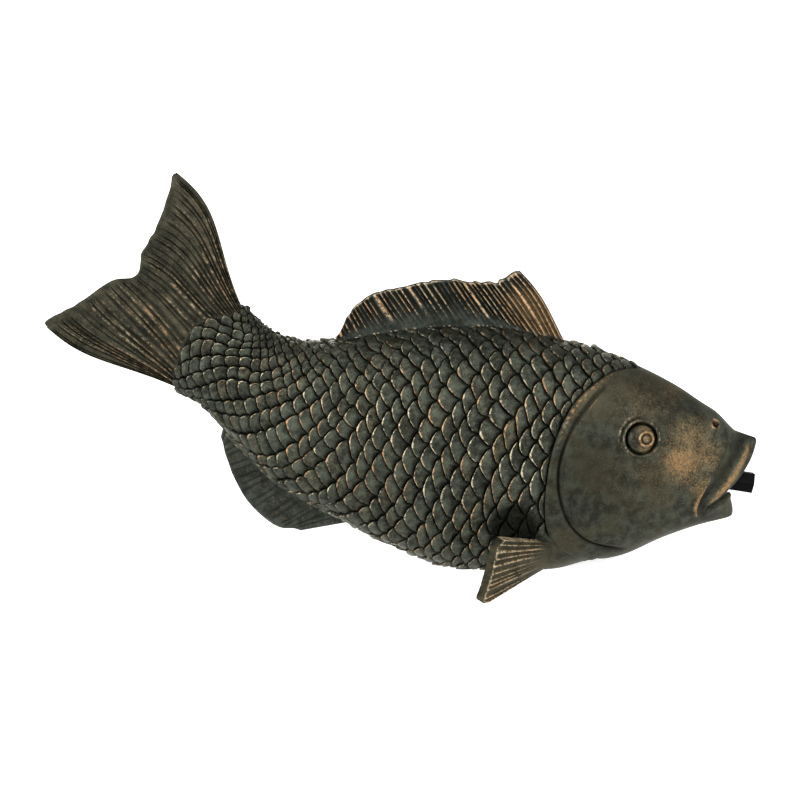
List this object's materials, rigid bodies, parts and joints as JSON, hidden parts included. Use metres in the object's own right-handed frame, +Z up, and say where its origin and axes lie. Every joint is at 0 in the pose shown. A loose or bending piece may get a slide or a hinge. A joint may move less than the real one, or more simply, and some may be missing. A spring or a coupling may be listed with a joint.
{
  "type": "fish water spitter",
  "caption": "Carp-shaped pond ornament in bronze-look resin, tail raised, that spits water from a tube in its open mouth, fed by a hose from under the belly.",
  "frame": {"origin": "on the ground below the middle of the figure's box", "axes": "+X the way the snout points, +Y the fish's left side, +Z up"},
  "size_m": [0.441, 0.2006, 0.244],
  "materials": {
    "bronze_resin": "satin",
    "fin_bronze": "satin",
    "eye_bronze": "satin",
    "black_plastic": "matte",
    "grey_plastic": "matte",
    "black_rubber": "matte",
    "clear_vinyl": "gloss",
    "steel": "satin"
  },
  "bodies": {
    "figure": {"body_casting": "bronze_resin", "belly_plate": "bronze_resin", "tail_fin": "fin_bronze", "dorsal_fin": "fin_bronze", "anal_fin": "fin_bronze", "pectoral_fin_right": "fin_bronze", "pectoral_fin_left": "fin_bronze", "eye_right": "eye_bronze", "eye_left": "eye_bronze", "inlet_connector": "grey_plastic", "inlet_nut": "grey_plastic", "mouth_bush": "black_rubber", "inlet_washer": "black_rubber", "inner_hose": "clear_vinyl", "tail_pin_upper": "steel", "tail_pin_lower": "steel", "pectoral_pin_right": "steel", "pectoral_pin_left": "steel", "hose_clip_mouth": "steel", "hose_clip_inlet": "steel"},
    "spout": {"spout_tube": "black_plastic"}
  },
  "joints": [
    {"name": "spout_slide", "type": "slide", "parent": "figure", "child": "spout", "axis": [0.9871, 0, -0.1599], "range_m": [0, 0.024]}
  ]
}
